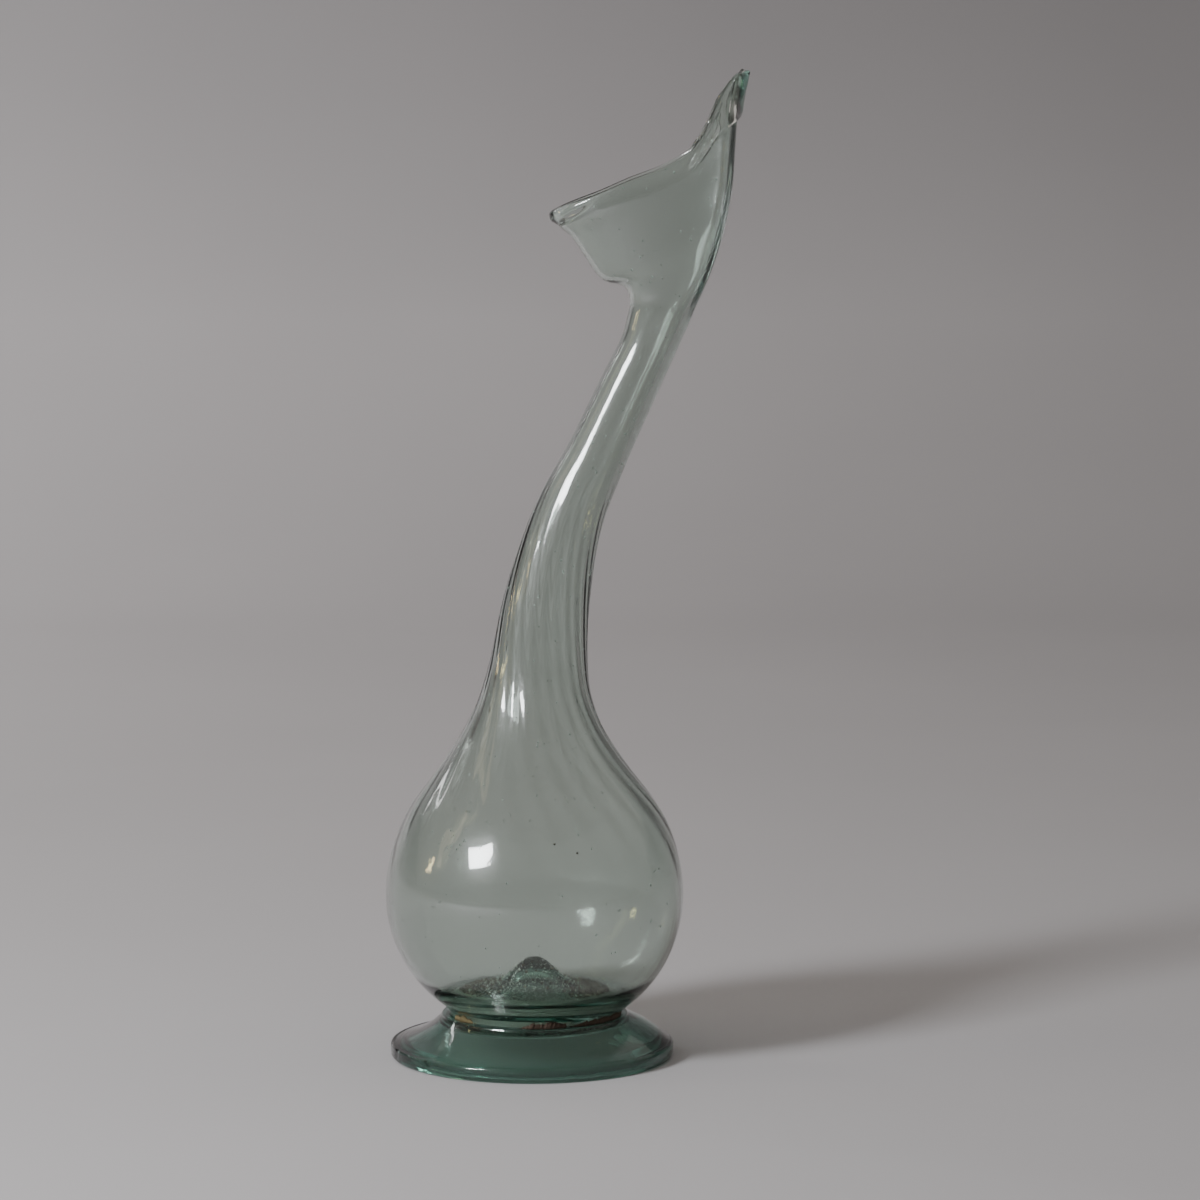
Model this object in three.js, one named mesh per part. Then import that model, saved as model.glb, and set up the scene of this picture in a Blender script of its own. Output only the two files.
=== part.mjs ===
// Perfume sprinkler in blown glass: a bulb on a spread foot, a swan neck and a leaf-shaped mouth.
// Lengths are millimetres and +Z is up. The neck leans toward +X. The mouth opens up and toward -X.

import * as THREE from "three";
import { LoftGeometry } from "three/addons/geometries/LoftGeometry.js";

// Foot: a low hollow cone of its own gather of glass, with a thick round rim that it rests on
const FOOT_RADIUS = 49;
const FOOT_RIM_HEIGHT = 5.2;
const FOOT_RIM_WIDTH = 6.2;
const FOOT_REST_WIDTH = 2.8;
const FOOT_WALL = 3;
const FOOT_OFFSET = -0.9;
const FOOT_SWELL = 1.4;
const HOLLOW_EDGE_HEIGHT = 1;
const FLARE_END_INSET = 1.4;
const FLARE_TOP_HANDLE = new THREE.Vector2(3, -2.8);
const FLARE_END_HANDLE = new THREE.Vector2(-6.6, 3.7);

// Collar, where the foot meets the vessel under its waist
const COLLAR_HEIGHT = 15;
const COLLAR_RADIUS = 32.2;
const COLLAR_ROUNDING = 0.6;
const JOINT_RADIUS = 29.6;
const JOINT_GAP = 0.3;

// Bulb: two half ellipses that share their widest circle, with the base pushed up inside
const BULB_RADIUS = 51.4;
const BULB_CENTRE = 56;
const BULB_RISE = 55.5;
const WAIST_RADIUS = 31.2;
const WAIST_HEIGHT = 17.4;
const WAIST_LEAN = 0.8;
const SHOULDER_HEIGHT = 88;
const BASE_WALL = 3;
const UNDERSIDE_RADIUS = 23.7;
const FLOOR_RADIUS = 24;
const FLOOR_HEIGHT = 21.3;
const KICK_HEIGHT = 12.9;
const KICK_RADIUS = 17;
const KNOB_RADIUS = 8;
const KNOB_SHARE = 0.45;

// Neck: its centre line runs from the root on the shoulder to the end under the mouth
const NECK_ROOT_HEIGHT = 131;
const NECK_ROOT_RADIUS = 17.7;
const NECK_ROOT_LEAN = 1.1;
const NECK_END_HEIGHT = 256;
const NECK_END_LEAN = 42.65;
const NECK_THIN_RADIUS = 9.6;

// Mouth: a scoop whose front edge is the lip, and whose back edge climbs to the tip
const LIP_HEIGHT = 289.4;
const LIP_LEAN = 7.2;
const TIP_HEIGHT = 338.7;
const TIP_LEAN = 71.6;
const MOUTH_WIDTH = 34;
const RIM_SAG = 10.6;
const TIP_NARROWING = 0.7;
const TIP_NARROWING_START = 0.8;
const BACK_FLATTENING = 0.76;
const TROUGH_START = 0.2;
const RIM_EASING = 0.5;

// Glass thickness
const BULB_WALL = 1.6;
const BOTTOM_THICKENING = 2.2;
const THICKENING_HEIGHT = 36;
const NECK_WALL = 2;
const MOUTH_WALL = 1.7;
const BACK_THICKENING = 0.9;
const LIP_BEAD = 4;
const LIP_BEAD_END = 0.25;
const RIM_THICKNESS = 1.5;
const RIM_RISE = 1.4;
const BEAD_DEPTH = 0.14;
const TIP_PAD = 2;
const TIP_PAD_LENGTH = 18;
const TIP_PAD_WIDTH = 9;
const PAD_END_ROUNDING = 0.25;
const PAD_SIDE_ROUNDING = 0.8;

// Where the wall changes, as shares of the way up the body and of the way up the mouth
const NECK_WALL_START = 0.4;
const NECK_WALL_FULL = 0.6;
const MOUTH_WALL_FULL = 0.4;
const BACK_THINNING = 0.5;

// Facets
const COLUMNS = 36;
const BULB_STEPS = 6;
const BODY_ROWS = 28;
const MOUTH_ROWS = 12;
const RIM_ROWS = 4;
const BASE_ROWS = 6;
const CORNER_STEPS = 4;
const FOOT_COLUMNS = 40;
const FLARE_STEPS = 5;
const RIM_STEPS = 3;

// Shoulder and neck as shares: lean from root to end, height from root to end, and how much of the
// fall from the root's radius to the thinnest radius is done. Negative heights are on the shoulder.
const NECK_SHAPE = [
  [-0.03, -0.222, -1.6],
  [-0.02, -0.11, -0.57],
  [0, 0, 0],
  [0.08, 0.222, 0.377],
  [0.249, 0.442, 0.68],
  [0.497, 0.624, 0.9],
  [0.767, 0.816, 0.97],
  [0.915, 0.92, 1],
  [1, 1, 0.89],
];

// Mouth as shares: how far the front edge has moved out and up from the neck's end to the lip, how far
// the back edge has moved out and up to the tip, and how much of the widening is done.
const MOUTH_SHAPE = [
  [0, 0, 0, 0, 0],
  [0.03, 0.165, 0.188, 0.102, 0.07],
  [0.134, 0.24, 0.406, 0.218, 0.25],
  [0.378, 0.303, 0.623, 0.369, 0.51],
  [0.606, 0.563, 0.777, 0.544, 0.7],
  [0.772, 0.775, 0.833, 0.718, 0.85],
  [0.921, 0.887, 0.883, 0.863, 0.96],
  [1, 1, 1, 1, 1],
];

// Rim seen from the side: share of the way from lip to tip, and share of the sag below a straight line
const RIM_SHAPE = [
  [0, 0],
  [0.14, 0.21],
  [0.32, 0.51],
  [0.49, 0.86],
  [0.63, 1],
  [0.73, 0.78],
  [0.81, 0.45],
  [0.89, 0.115],
  [0.95, 0.01],
  [1, 0],
];

function smoothStep(start, end, value) {
  return THREE.MathUtils.smoothstep(value, start, end);
}

// A ring of points around the centre line at a lean and height, square to the line's tilt
function ring(lean, height, tilt, radius) {
  const points = [];
  for (let column = 0; column < COLUMNS; column += 1) {
    const angle = (2 * Math.PI * column) / COLUMNS;
    const out = radius * Math.cos(angle);
    points.push(new THREE.Vector3(
      lean + out * Math.cos(tilt),
      radius * Math.sin(angle),
      height - out * Math.sin(tilt),
    ));
  }
  return points;
}

// Bulb and neck: one curve through stations, with lean as x, radius as y and height as z
function bodyCurve() {
  const stations = [];
  const depth = (BULB_CENTRE - WAIST_HEIGHT) / Math.sqrt(1 - (WAIST_RADIUS / BULB_RADIUS) ** 2);
  const lowest = Math.asin((BULB_CENTRE - WAIST_HEIGHT) / depth);
  const highest = Math.asin((SHOULDER_HEIGHT - BULB_CENTRE) / BULB_RISE);
  for (let step = 0; step < BULB_STEPS; step += 1) {
    const angle = lowest * (1 - step / BULB_STEPS);
    stations.push(new THREE.Vector3(
      WAIST_LEAN * (1 - step / BULB_STEPS) ** 2,
      BULB_RADIUS * Math.cos(angle),
      BULB_CENTRE - depth * Math.sin(angle),
    ));
  }
  for (let step = 0; step <= BULB_STEPS; step += 1) {
    const angle = (highest * step) / BULB_STEPS;
    stations.push(new THREE.Vector3(
      0,
      BULB_RADIUS * Math.cos(angle),
      BULB_CENTRE + BULB_RISE * Math.sin(angle),
    ));
  }
  for (const [lean, rise, fall] of NECK_SHAPE) {
    stations.push(new THREE.Vector3(
      THREE.MathUtils.lerp(NECK_ROOT_LEAN, NECK_END_LEAN, lean),
      THREE.MathUtils.lerp(NECK_ROOT_RADIUS, NECK_THIN_RADIUS, fall),
      THREE.MathUtils.lerp(NECK_ROOT_HEIGHT, NECK_END_HEIGHT, rise),
    ));
  }
  return new THREE.CatmullRomCurve3(stations);
}

// Rings of the outer skin from the waist to the neck's end, level on the bulb and tilted on the neck
function bodyRings(curve) {
  const rings = [];
  for (let row = 0; row <= BODY_ROWS; row += 1) {
    const share = row / BODY_ROWS;
    const place = curve.getPointAt(share);
    const along = curve.getTangentAt(share);
    const tilt = Math.atan2(along.x, along.z) * smoothStep(SHOULDER_HEIGHT, NECK_ROOT_HEIGHT, place.z);
    rings.push(ring(place.x, place.z, tilt, place.y));
  }
  return rings;
}

// One column of a table of shares as a smooth function of the way along the table
function column(table, index) {
  const points = table.map((row, place) => new THREE.Vector2(place / (table.length - 1), row[index]));
  const curve = new THREE.SplineCurve(points);
  return (share) => curve.getPoint(share).y;
}

// How far the rim lies below a straight line from lip to tip, as a share of the sag
function rimSag(across) {
  const after = Math.max(1, RIM_SHAPE.findIndex(([place]) => place >= across));
  const [start, low] = RIM_SHAPE[after - 1];
  const [end, high] = RIM_SHAPE[after];
  return THREE.MathUtils.lerp(low, high, smoothStep(start, end, across));
}

// How far a point of a ring lies from the front edge of the mouth to its back edge
function acrossMouth(place) {
  return (1 + Math.cos((2 * Math.PI * place) / COLUMNS)) / 2;
}

// Rings of the outer skin from the neck's end to the rim, each between its front and back edge. Their
// sides are flattened toward the back, which makes the back a trough, and the rim ends in a point.
function mouthRings(neckEnd) {
  const neckBack = neckEnd[0];
  const neckFront = neckEnd[COLUMNS / 2];
  const neckRadius = neckFront.distanceTo(neckBack) / 2;
  const lip = new THREE.Vector3(LIP_LEAN, 0, LIP_HEIGHT);
  const tip = new THREE.Vector3(TIP_LEAN, 0, TIP_HEIGHT);
  const columns = [0, 1, 2, 3, 4].map((index) => column(MOUTH_SHAPE, index));
  const [frontOut, frontUp, backOut, backUp, spread] = columns;
  const rings = [];
  for (let row = 1; row <= MOUTH_ROWS; row += 1) {
    const share = row / MOUTH_ROWS;
    const front = new THREE.Vector3(
      THREE.MathUtils.lerp(neckFront.x, lip.x, frontOut(share)), 0,
      THREE.MathUtils.lerp(neckFront.z, lip.z, frontUp(share)));
    const back = new THREE.Vector3(
      THREE.MathUtils.lerp(neckBack.x, tip.x, backOut(share)), 0,
      THREE.MathUtils.lerp(neckBack.z, tip.z, backUp(share)));
    const chord = back.clone().sub(front);
    const down = new THREE.Vector3(chord.z, 0, -chord.x).normalize();
    const halfWidth = THREE.MathUtils.lerp(neckRadius, MOUTH_WIDTH / 2, spread(share));
    const nearRim = smoothStep(TIP_NARROWING_START, 1, share);
    const flattening = BACK_FLATTENING * smoothStep(0, TROUGH_START, share) * (1 - RIM_EASING * nearRim);
    const points = [];
    for (let place = 0; place < COLUMNS; place += 1) {
      const side = Math.sin((2 * Math.PI * place) / COLUMNS);
      const across = acrossMouth(place);
      const fullness = Math.abs(side) ** (1 - flattening * across);
      const narrowing = 1 - TIP_NARROWING * nearRim * across ** 3;
      const point = front.clone().addScaledVector(chord, across);
      point.addScaledVector(down, RIM_SAG * share ** 2 * rimSag(across));
      point.y = halfWidth * Math.sign(side) * fullness * narrowing;
      points.push(point);
    }
    rings.push(points);
  }
  return rings;
}

// Outward direction of the skin at each point, square to its neighbours in both directions
function skinNormals(rings) {
  return rings.map((points, row) => points.map((point, place) => {
    const above = rings[Math.min(row + 1, rings.length - 1)][place];
    const below = rings[Math.max(row - 1, 0)][place];
    const next = points[(place + 1) % COLUMNS];
    const last = points[(place + COLUMNS - 1) % COLUMNS];
    const around = next.clone().sub(last);
    return around.cross(above.clone().sub(below)).normalize();
  }));
}

// Glass thickness at a place on the skin: rows run up the body and then the mouth
function wallAt(row, place, height) {
  const back = acrossMouth(place) ** 4;
  if (row <= BODY_ROWS) {
    const share = row / BODY_ROWS;
    const neck = smoothStep(NECK_WALL_START, NECK_WALL_FULL, share);
    const bottom = BOTTOM_THICKENING * (1 - smoothStep(FLOOR_HEIGHT, THICKENING_HEIGHT, height));
    const wall = THREE.MathUtils.lerp(BULB_WALL, NECK_WALL, neck) + bottom;
    return wall + BACK_THICKENING * back * smoothStep(NECK_WALL_FULL, 1, share);
  }
  const share = (row - BODY_ROWS) / MOUTH_ROWS;
  return THREE.MathUtils.lerp(NECK_WALL, MOUTH_WALL, smoothStep(0, MOUTH_WALL_FULL, share))
    + BACK_THICKENING * back * (1 - smoothStep(BACK_THINNING, 1, share));
}

// Extra glass on each face of the wall beside the rim, which is a thick bead at the lip and thin beyond
function beadAt(row, place) {
  const share = (row - BODY_ROWS) / MOUTH_ROWS;
  const pastLip = smoothStep(0, LIP_BEAD_END, acrossMouth(place));
  const thickness = THREE.MathUtils.lerp(LIP_BEAD, RIM_THICKNESS, pastLip);
  return ((thickness - MOUTH_WALL) / 2) * smoothStep(1 - BEAD_DEPTH, 1, share);
}

// Extra glass outside the skin: the bead along the rim, and the pad behind the tip
function bulgeAt(row, place, point) {
  const below = (TIP_HEIGHT - point.z) / TIP_PAD_LENGTH;
  const aside = Math.abs(point.y) / (TIP_PAD_WIDTH / 2);
  const inPad = smoothStep(0, PAD_END_ROUNDING, 1 - below) * smoothStep(0, PAD_SIDE_ROUNDING, 1 - aside);
  return beadAt(row, place) + TIP_PAD * inPad;
}

// Inside of the pushed-in base, a kick with a knob on it, and its underside down to the foot's joint
function kickHeight(radius) {
  const cone = Math.exp(-((radius / KICK_RADIUS) ** 2));
  const knob = Math.exp(-((radius / KNOB_RADIUS) ** 2));
  return FLOOR_HEIGHT + KICK_HEIGHT * THREE.MathUtils.lerp(cone, knob, KNOB_SHARE);
}

function undersideHeight(radius) {
  const edge = COLLAR_HEIGHT + JOINT_GAP;
  const middle = kickHeight(radius) - BASE_WALL;
  return THREE.MathUtils.lerp(middle, edge, smoothStep(UNDERSIDE_RADIUS, JOINT_RADIUS, radius));
}

// Inside corner of the bulb, where its wall curves into the floor and leaves no edge
function cornerRings(wallRing, ringAbove) {
  const [start, above] = [wallRing, ringAbove].map((points) => {
    return new THREE.Vector2((points[0].x - points[COLUMNS / 2].x) / 2, points[0].z);
  });
  const end = new THREE.Vector2(FLOOR_RADIUS, kickHeight(FLOOR_RADIUS));
  const wallSlope = (above.x - start.x) / (above.y - start.y);
  const floorSlope = end.y - kickHeight(FLOOR_RADIUS - 1);
  const rise = end.y - floorSlope * end.x - start.y;
  const meeting = (start.x + wallSlope * rise) / (1 - wallSlope * floorSlope);
  const control = new THREE.Vector2(meeting, end.y + floorSlope * (meeting - end.x));
  const curve = new THREE.QuadraticBezierCurve(start, control, end);
  return curve.getPoints(CORNER_STEPS).slice(1, -1).map((point) => ring(0, point.y, 0, point.x));
}

// The vessel: underside, outer skin, rounded rim, inner skin and floor, in one closed loft
function bottleGeometry() {
  const skin = bodyRings(bodyCurve());
  skin.push(...mouthRings(skin[skin.length - 1]));
  const normals = skinNormals(skin);
  const sections = [];

  for (let row = 0; row < BASE_ROWS; row += 1) {
    const radius = (JOINT_RADIUS * row) / (BASE_ROWS - 1);
    sections.push(ring(0, undersideHeight(radius), 0, radius));
  }

  skin.forEach((points, row) => {
    sections.push(points.map((point, place) => {
      return point.clone().addScaledVector(normals[row][place], bulgeAt(row, place, point));
    }));
  });

  const top = skin.length - 1;
  for (let turn = 1; turn < RIM_ROWS; turn += 1) {
    const angle = (Math.PI * turn) / RIM_ROWS;
    sections.push(skin[top].map((point, place) => {
      const outer = bulgeAt(top, place, point);
      const inner = wallAt(top, place, point.z) + beadAt(top, place);
      const upward = point.clone().sub(skin[top - 1][place]).normalize();
      const middle = point.clone().addScaledVector(normals[top][place], (outer - inner) / 2);
      return middle
        .addScaledVector(normals[top][place], ((outer + inner) / 2) * Math.cos(angle))
        .addScaledVector(upward, RIM_RISE * Math.sin(angle));
    }));
  }

  const innerSkin = skin.map((points, row) => points.map((point, place) => {
    const depth = wallAt(row, place, point.z) + beadAt(row, place);
    return point.clone().addScaledVector(normals[row][place], -depth);
  }));
  const lowest = skin.findIndex((points) => points[0].z > FLOOR_HEIGHT + BASE_WALL);
  sections.push(...innerSkin.slice(lowest).reverse());
  sections.push(...cornerRings(innerSkin[lowest], innerSkin[lowest + 1]));
  for (let row = BASE_ROWS - 1; row >= 0; row -= 1) {
    const radius = (FLOOR_RADIUS * row) / (BASE_ROWS - 1);
    sections.push(ring(0, kickHeight(radius), 0, radius));
  }
  return new LoftGeometry(sections);
}

// The foot: under the joint, along the flare, around the rim, and back under the hollow. It was spread
// by hand, so its rim is off the bulb's axis, and its flare is fuller toward +X.
function footGeometry() {
  const hollowRadius = FOOT_RADIUS - FOOT_RIM_WIDTH;
  const restRadius = FOOT_RADIUS - FOOT_RIM_WIDTH / 2;
  const flareTop = new THREE.Vector2(COLLAR_RADIUS, COLLAR_HEIGHT - COLLAR_ROUNDING);
  const flareEnd = new THREE.Vector2(FOOT_RADIUS - FLARE_END_INSET, FOOT_RIM_HEIGHT);
  const flare = new THREE.CubicBezierCurve(
    flareTop, flareTop.clone().add(FLARE_TOP_HANDLE), flareEnd.clone().add(FLARE_END_HANDLE), flareEnd);
  const rim = new THREE.Path();
  rim.moveTo(restRadius + FOOT_REST_WIDTH / 2, 0);
  rim.quadraticCurveTo(FOOT_RADIUS, 0, FOOT_RADIUS, FOOT_RIM_HEIGHT / 2);
  rim.quadraticCurveTo(FOOT_RADIUS, FOOT_RIM_HEIGHT, flareEnd.x, flareEnd.y);
  const joint = [];
  for (let row = 0; row < BASE_ROWS; row += 1) {
    const radius = (JOINT_RADIUS * row) / (BASE_ROWS - 1);
    joint.push(new THREE.Vector2(radius, undersideHeight(radius) - JOINT_GAP));
  }
  const flarePoints = flare.getPoints(FLARE_STEPS);
  const fall = new THREE.Vector2(0, -FOOT_WALL);

  const overHollow = flarePoints.filter((point) => point.x < hollowRadius);
  const profile = [...joint, ...overHollow].map((point) => point.clone().add(fall));
  profile.push(new THREE.Vector2(hollowRadius, HOLLOW_EDGE_HEIGHT));
  profile.push(new THREE.Vector2(restRadius - FOOT_REST_WIDTH / 2, 0));
  profile.push(...rim.getPoints(RIM_STEPS));
  profile.push(...flarePoints.reverse().slice(1));
  profile.push(new THREE.Vector2(COLLAR_RADIUS - COLLAR_ROUNDING, COLLAR_HEIGHT));
  profile.push(...joint.reverse());
  const geometry = new THREE.LatheGeometry(profile, FOOT_COLUMNS);
  geometry.rotateX(Math.PI / 2);

  const places = geometry.getAttribute("position");
  for (let index = 0; index < places.count; index += 1) {
    const radius = Math.hypot(places.getX(index), places.getY(index));
    const share = THREE.MathUtils.clamp((radius - COLLAR_RADIUS) / (FOOT_RADIUS - COLLAR_RADIUS), 0, 1);
    const swell = FOOT_SWELL * Math.sin(Math.PI * share) * (places.getX(index) / Math.max(radius, 1));
    places.setZ(index, places.getZ(index) + swell * smoothStep(0, FOOT_RIM_HEIGHT, places.getZ(index)));
    places.setX(index, places.getX(index) + FOOT_OFFSET * smoothStep(0, 1, share));
  }
  return geometry;
}

const thinGlass = new THREE.MeshStandardMaterial({ color: 0xa7b8ad, roughness: 0.06, metalness: 0 });
const thickGlass = new THREE.MeshStandardMaterial({ color: 0x4f7167, roughness: 0.08, metalness: 0 });

const bottle = new THREE.Mesh(bottleGeometry(), thinGlass);
bottle.name = "bottle";

const foot = new THREE.Mesh(footGeometry(), thickGlass);
foot.name = "foot";

// The sprinkler stands over the middle of its own footprint, on its foot's resting ring
const sprinkler = new THREE.Group();
sprinkler.add(bottle, foot);
sprinkler.updateMatrixWorld(true);
const box = new THREE.Box3().setFromObject(sprinkler);
sprinkler.position.set(-(box.min.x + box.max.x) / 2, -(box.min.y + box.max.y) / 2, -box.min.z);

export default sprinkler;
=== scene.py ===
# %% [markdown]
# # A blown glass perfume sprinkler
# The real object is a rosewater sprinkler: a bulb on a spread foot, a tall neck that swings to one side,
# and a mouth like a leaf. This lesson dresses its engineering model. The plain solids are already in
# place, and each one is replaced by a finer mesh of the same form, with the marks of the glassblower's
# hand: faint twisted ribs, small bubbles, a thick tip, chips on the rim, and old dirt in the joint.

# %% Load the frame
import math

import bmesh
import bpy
import numpy as np
from mathutils import Matrix, Quaternion, Vector


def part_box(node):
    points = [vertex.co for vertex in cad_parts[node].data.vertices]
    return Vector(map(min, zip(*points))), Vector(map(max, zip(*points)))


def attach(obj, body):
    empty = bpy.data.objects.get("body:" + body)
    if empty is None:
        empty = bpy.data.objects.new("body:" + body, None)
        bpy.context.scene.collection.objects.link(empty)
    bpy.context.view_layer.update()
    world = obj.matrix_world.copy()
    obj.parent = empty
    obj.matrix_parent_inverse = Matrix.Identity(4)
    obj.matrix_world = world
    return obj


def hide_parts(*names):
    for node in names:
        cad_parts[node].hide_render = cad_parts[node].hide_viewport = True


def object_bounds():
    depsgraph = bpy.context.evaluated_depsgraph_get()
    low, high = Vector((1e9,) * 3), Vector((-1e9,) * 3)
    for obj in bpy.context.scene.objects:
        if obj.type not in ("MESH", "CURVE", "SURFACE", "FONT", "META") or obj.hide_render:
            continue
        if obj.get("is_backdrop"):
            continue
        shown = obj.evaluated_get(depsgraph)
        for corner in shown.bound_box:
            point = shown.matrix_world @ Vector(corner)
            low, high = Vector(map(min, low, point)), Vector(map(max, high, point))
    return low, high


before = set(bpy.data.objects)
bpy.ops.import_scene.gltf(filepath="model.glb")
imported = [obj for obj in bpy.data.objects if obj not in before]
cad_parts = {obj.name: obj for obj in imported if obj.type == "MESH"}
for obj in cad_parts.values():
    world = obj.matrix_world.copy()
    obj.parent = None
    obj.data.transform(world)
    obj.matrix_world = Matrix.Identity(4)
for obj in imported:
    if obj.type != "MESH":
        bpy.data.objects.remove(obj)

MM = 0.001
cad_low, cad_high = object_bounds()
print("solids fill", [round(high - low, 4) for low, high in zip(cad_low, cad_high)], "m")

# %% [markdown]
# ## Sizes
# Blender works in metres here, and glass is thought of in millimetres, so each size is a plain number of
# millimetres times MM. They repeat the driving sizes of the solids, apart from a few measures inside the
# glass, which are thinner here because thick clear glass looks darker than it does on the real vessel.
# Everything is measured from the bulb's axis, and the foot's box says where that axis stands.

# %% Sizes of the foot and the bulb
FOOT_RADIUS = 49 * MM
FOOT_RIM_HEIGHT = 5.2 * MM
FOOT_RIM_WIDTH = 6.2 * MM
FOOT_REST_WIDTH = 2.8 * MM
FOOT_WALL = 3 * MM
FOOT_OFFSET = -0.9 * MM
FOOT_SWELL = 1.4 * MM
HOLLOW_EDGE_HEIGHT = 1 * MM
FLARE_END_INSET = 1.4 * MM
FLARE_TOP_HANDLE = np.array([3, -2.8]) * MM
FLARE_END_HANDLE = np.array([-6.6, 3.7]) * MM

COLLAR_HEIGHT = 15 * MM
COLLAR_RADIUS = 32.2 * MM
COLLAR_ROUNDING = 0.6 * MM
JOINT_RADIUS = 29.6 * MM
JOINT_GAP = 0.3 * MM

BULB_RADIUS = 51.4 * MM
BULB_CENTRE = 56 * MM
BULB_RISE = 55.5 * MM
WAIST_RADIUS = 31.2 * MM
WAIST_HEIGHT = 17.4 * MM
WAIST_LEAN = 0.8 * MM
SHOULDER_HEIGHT = 88 * MM
BASE_WALL = 3 * MM
UNDERSIDE_RADIUS = 23.7 * MM
FLOOR_RADIUS = 26 * MM
FLOOR_HEIGHT = 21.3 * MM
KICK_HEIGHT = 12.9 * MM
KICK_RADIUS = 17 * MM
KNOB_RADIUS = 8 * MM
KNOB_SHARE = 0.45
KNOB_FLATNESS = 2.6

foot_low, foot_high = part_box("foot")
AXIS_X = (foot_low[0] + foot_high[0]) / 2 - FOOT_OFFSET
print("the bulb's axis stands at x =", round(AXIS_X, 5))

# %% Sizes of the neck, the mouth and the glass
NECK_ROOT_HEIGHT = 131 * MM
NECK_ROOT_RADIUS = 17.7 * MM
NECK_ROOT_LEAN = 1.1 * MM
NECK_END_HEIGHT = 256 * MM
NECK_END_LEAN = 42.65 * MM
NECK_THIN_RADIUS = 9.6 * MM

LIP_HEIGHT = 289.4 * MM
LIP_LEAN = 7.2 * MM
TIP_HEIGHT = 338.7 * MM
TIP_LEAN = 71.6 * MM
MOUTH_WIDTH = 34 * MM
RIM_SAG = 10.6 * MM
TIP_NARROWING = 0.7
TIP_NARROWING_START = 0.8
BACK_FLATTENING = 0.76
TROUGH_START = 0.2
RIM_EASING = 0.5

BULB_WALL = 1.6 * MM
BOTTOM_THICKENING = 0.8 * MM
THICKENING_HEIGHT = 28 * MM
NECK_WALL = 1.5 * MM
MOUTH_WALL = 1.7 * MM
BACK_THICKENING = 0.9 * MM
LIP_BEAD = 4 * MM
LIP_BEAD_END = 0.25
RIM_THICKNESS = 1.5 * MM
RIM_RISE = 1.4 * MM
BEAD_DEPTH = 0.14
BEAD_OUTSIDE = 0.8
TIP_PAD = 2 * MM
TIP_PAD_LENGTH = 18 * MM
TIP_PAD_WIDTH = 9 * MM
RIM_TUCK = 0.3

# Shares of the neck: lean, height, and fall from the root's radius to the thinnest radius
NECK_SHAPE = np.array([
    [-0.03, -0.222, -1.6],
    [-0.02, -0.11, -0.57],
    [0, 0, 0],
    [0.08, 0.222, 0.377],
    [0.249, 0.442, 0.68],
    [0.497, 0.624, 0.9],
    [0.767, 0.816, 0.97],
    [0.915, 0.92, 1],
    [1, 1, 0.89],
])

# Shares of the mouth: front edge out and up, back edge out and up, and widening
MOUTH_SHAPE = np.array([
    [0, 0, 0, 0, 0],
    [0.03, 0.165, 0.188, 0.102, 0.07],
    [0.134, 0.24, 0.406, 0.218, 0.25],
    [0.378, 0.303, 0.623, 0.369, 0.51],
    [0.606, 0.563, 0.777, 0.544, 0.7],
    [0.772, 0.775, 0.833, 0.718, 0.85],
    [0.921, 0.887, 0.883, 0.863, 0.96],
    [1, 1, 1, 1, 1],
])

# The rim from lip to tip, seen from the side: share of the way, and share of the sag
RIM_SHAPE = np.array([
    [0, 0], [0.14, 0.21], [0.32, 0.51], [0.49, 0.86], [0.63, 1],
    [0.73, 0.78], [0.81, 0.45], [0.89, 0.115], [0.95, 0.01], [1, 0],
])

# %% [markdown]
# ## Camera
# The camera comes first, because every later choice is judged through it. A tall thin vessel is best
# taken from well back with a long lens, so that it keeps its true proportions. Here that is a 144 mm lens
# about 1.6 m away, a little above the mouth and tipped down by a few degrees.

# %% Camera
CAMERA_DISTANCE = 1635 * MM
CAMERA_HEIGHT = 353.5 * MM
CAMERA_ASIDE = 22.6 * MM
CAMERA_PITCH = math.radians(6.8)
CAMERA_LENS = 144
SENSOR_WIDTH = 36


def add_object(name, data, material=None):
    """Puts an object into the scene at the origin, with one material where it is given."""
    made = bpy.data.objects.new(name, data)
    bpy.context.scene.collection.objects.link(made)
    if material:
        data.materials.append(material)
    return made


camera_data = bpy.data.cameras.new("camera")
camera_data.lens = CAMERA_LENS
camera_data.sensor_width = SENSOR_WIDTH
camera = add_object("camera", camera_data)
camera.location = (AXIS_X + CAMERA_ASIDE, -CAMERA_DISTANCE, CAMERA_HEIGHT)
camera.rotation_euler = (math.pi / 2 - CAMERA_PITCH, 0, 0)
bpy.context.scene.camera = camera
print("camera looks down by", round(math.degrees(CAMERA_PITCH), 1), "degrees")

# %% [markdown]
# ## Nodes without a mouse
# A material or a geometry tree is a set of nodes and links. One helper adds a node and fills its
# sockets: a plain value is set on the socket, and another node's output is linked to it. The others are
# short names for what comes up again and again: a ramp, noise, a sum, a value faded between limits.

# %% Node helpers
def add_node(tree, kind, inputs=(), **settings):
    """Adds a node and its settings, then fills inputs given as {socket name or number: value or socket}."""
    node = tree.nodes.new(kind)
    for name, value in settings.items():
        setattr(node, name, value)
    for key, value in dict(inputs).items():
        if isinstance(value, bpy.types.NodeSocket):
            tree.links.new(value, node.inputs[key])
        else:
            node.inputs[key].default_value = value
    return node


def new_material(name):
    """An empty node material and its output node."""
    material = bpy.data.materials.new(name)
    material.use_nodes = True
    material.node_tree.nodes.clear()
    return material, add_node(material.node_tree, "ShaderNodeOutputMaterial")


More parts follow.
